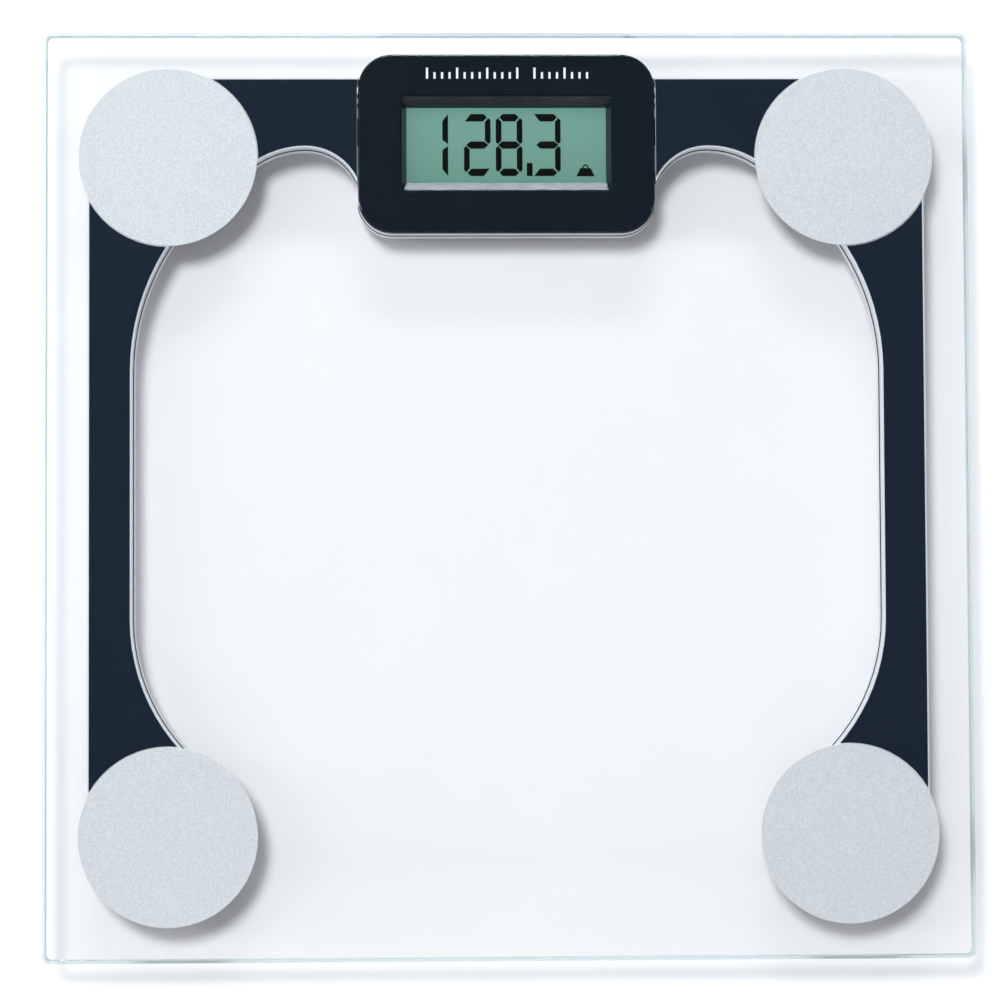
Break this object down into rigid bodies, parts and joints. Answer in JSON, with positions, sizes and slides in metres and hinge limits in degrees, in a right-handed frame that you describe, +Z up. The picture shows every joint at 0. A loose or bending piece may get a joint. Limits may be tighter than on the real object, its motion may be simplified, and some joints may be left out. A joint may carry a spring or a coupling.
{
  "type": "digital bathroom scale",
  "caption": "Square clear glass platform on sprung round feet, with slim side frames and a dark display unit with a numeric LCD under the glass.",
  "frame": {"origin": "on the floor under the middle of the platform, at the bottom of the rubber feet", "axes": "+Z up, +Y towards the edge with the display, +X to the right of someone reading the display"},
  "size_m": [0.3, 0.3, 0.024],
  "materials": {
    "clear_glass": "polished toughened clear glass",
    "silver_disc": "fine satin",
    "tape": "flat dark film",
    "frame_plastic": "pale, satin moulded",
    "housing_plastic": "semi-gloss moulded",
    "foot_plastic": "moulded",
    "rubber": "matt",
    "cell_steel": "stamped, plated",
    "screw_steel": "zinc plated",
    "wire_jacket": "PVC sleeve",
    "button_plastic": "moulded",
    "switch_body": "moulded",
    "board": "solder mask",
    "epoxy": "glob-top epoxy",
    "lcd": "reflective LCD, green",
    "zebra": "silicone",
    "coin_cell_can": "plated can",
    "contact_metal": "spring metal"
  },
  "bodies": {
    "root": {"arm_cover_left": "frame_plastic", "arm_cover_right": "frame_plastic", "arm_tape_left": "tape", "arm_tape_right": "tape", "bar_cover_left": "frame_plastic", "bar_cover_right": "frame_plastic", "bar_tape_left": "tape", "bar_tape_right": "tape", "battery_contact_negative": "contact_metal", "battery_contact_positive": "contact_metal", "board_screw_left": "screw_steel", "board_screw_right": "screw_steel", "case_screw_far_left": "screw_steel", "case_screw_far_right": "screw_steel", "case_screw_near_left": "screw_steel", "case_screw_near_right": "screw_steel", "circuit_board": "board", "coin_cell": "coin_cell_can", "controller_chip": "epoxy", "corner_disc_far_left": "silver_disc", "corner_disc_far_right": "silver_disc", "corner_disc_near_left": "silver_disc", "corner_disc_near_right": "silver_disc", "cover_screw_arm_far_left": "screw_steel", "cover_screw_arm_far_right": "screw_steel", "cover_screw_arm_near_left": "screw_steel", "cover_screw_arm_near_right": "screw_steel", "cover_screw_bar_left": "screw_steel", "cover_screw_bar_right": "screw_steel", "display_back_cover": "frame_plastic", "display_housing": "housing_plastic", "display_tape": "tape", "glass_platform": "clear_glass", "lcd_panel": "lcd", "load_cell_far_left": "cell_steel", "load_cell_far_right": "cell_steel", "load_cell_near_left": "cell_steel", "load_cell_near_right": "cell_steel", "load_cell_retainer_far_left": "foot_plastic", "load_cell_retainer_far_right": "foot_plastic", "load_cell_retainer_near_left": "foot_plastic", "load_cell_retainer_near_right": "foot_plastic", "side_frame_left": "frame_plastic", "side_frame_right": "frame_plastic", "tact_switch": "switch_body", "wire_loom_far_left": "wire_jacket", "wire_loom_far_right": "wire_jacket", "wire_loom_near_left": "wire_jacket", "wire_loom_near_right": "wire_jacket", "zebra_strip": "zebra"},
    "battery_door": {"battery_door": "frame_plastic"},
    "unit_button": {"unit_button": "button_plastic"},
    "foot_far_left": {"foot_far_left": "foot_plastic", "foot_pad_far_left": "rubber"},
    "foot_far_right": {"foot_far_right": "foot_plastic", "foot_pad_far_right": "rubber"},
    "foot_near_left": {"foot_near_left": "foot_plastic", "foot_pad_near_left": "rubber"},
    "foot_near_right": {"foot_near_right": "foot_plastic", "foot_pad_near_right": "rubber"}
  },
  "joints": [
    {"name": "foot_travel_far_left", "type": "slide", "parent": "root", "child": "foot_far_left", "axis": [0, 0, 1], "range_m": [0, 0.0006], "stiffness_N_per_m": 20000, "deforming": ["load_cell_far_left"]},
    {"name": "foot_travel_far_right", "type": "slide", "parent": "root", "child": "foot_far_right", "axis": [0, 0, 1], "range_m": [0, 0.0006], "stiffness_N_per_m": 20000, "deforming": ["load_cell_far_right"]},
    {"name": "foot_travel_near_left", "type": "slide", "parent": "root", "child": "foot_near_left", "axis": [0, 0, 1], "range_m": [0, 0.0006], "stiffness_N_per_m": 20000, "deforming": ["load_cell_near_left"]},
    {"name": "foot_travel_near_right", "type": "slide", "parent": "root", "child": "foot_near_right", "axis": [0, 0, 1], "range_m": [0, 0.0006], "stiffness_N_per_m": 20000, "deforming": ["load_cell_near_right"]},
    {"name": "unit_button_press", "type": "slide", "parent": "root", "child": "unit_button", "axis": [0, 0, 1], "range_m": [0, 0.0006], "stiffness_N_per_m": 1000},
    {"name": "battery_door_slide", "type": "slide", "parent": "root", "child": "battery_door", "axis": [0, -1, 0], "range_m": [0, 0.022]}
  ]
}
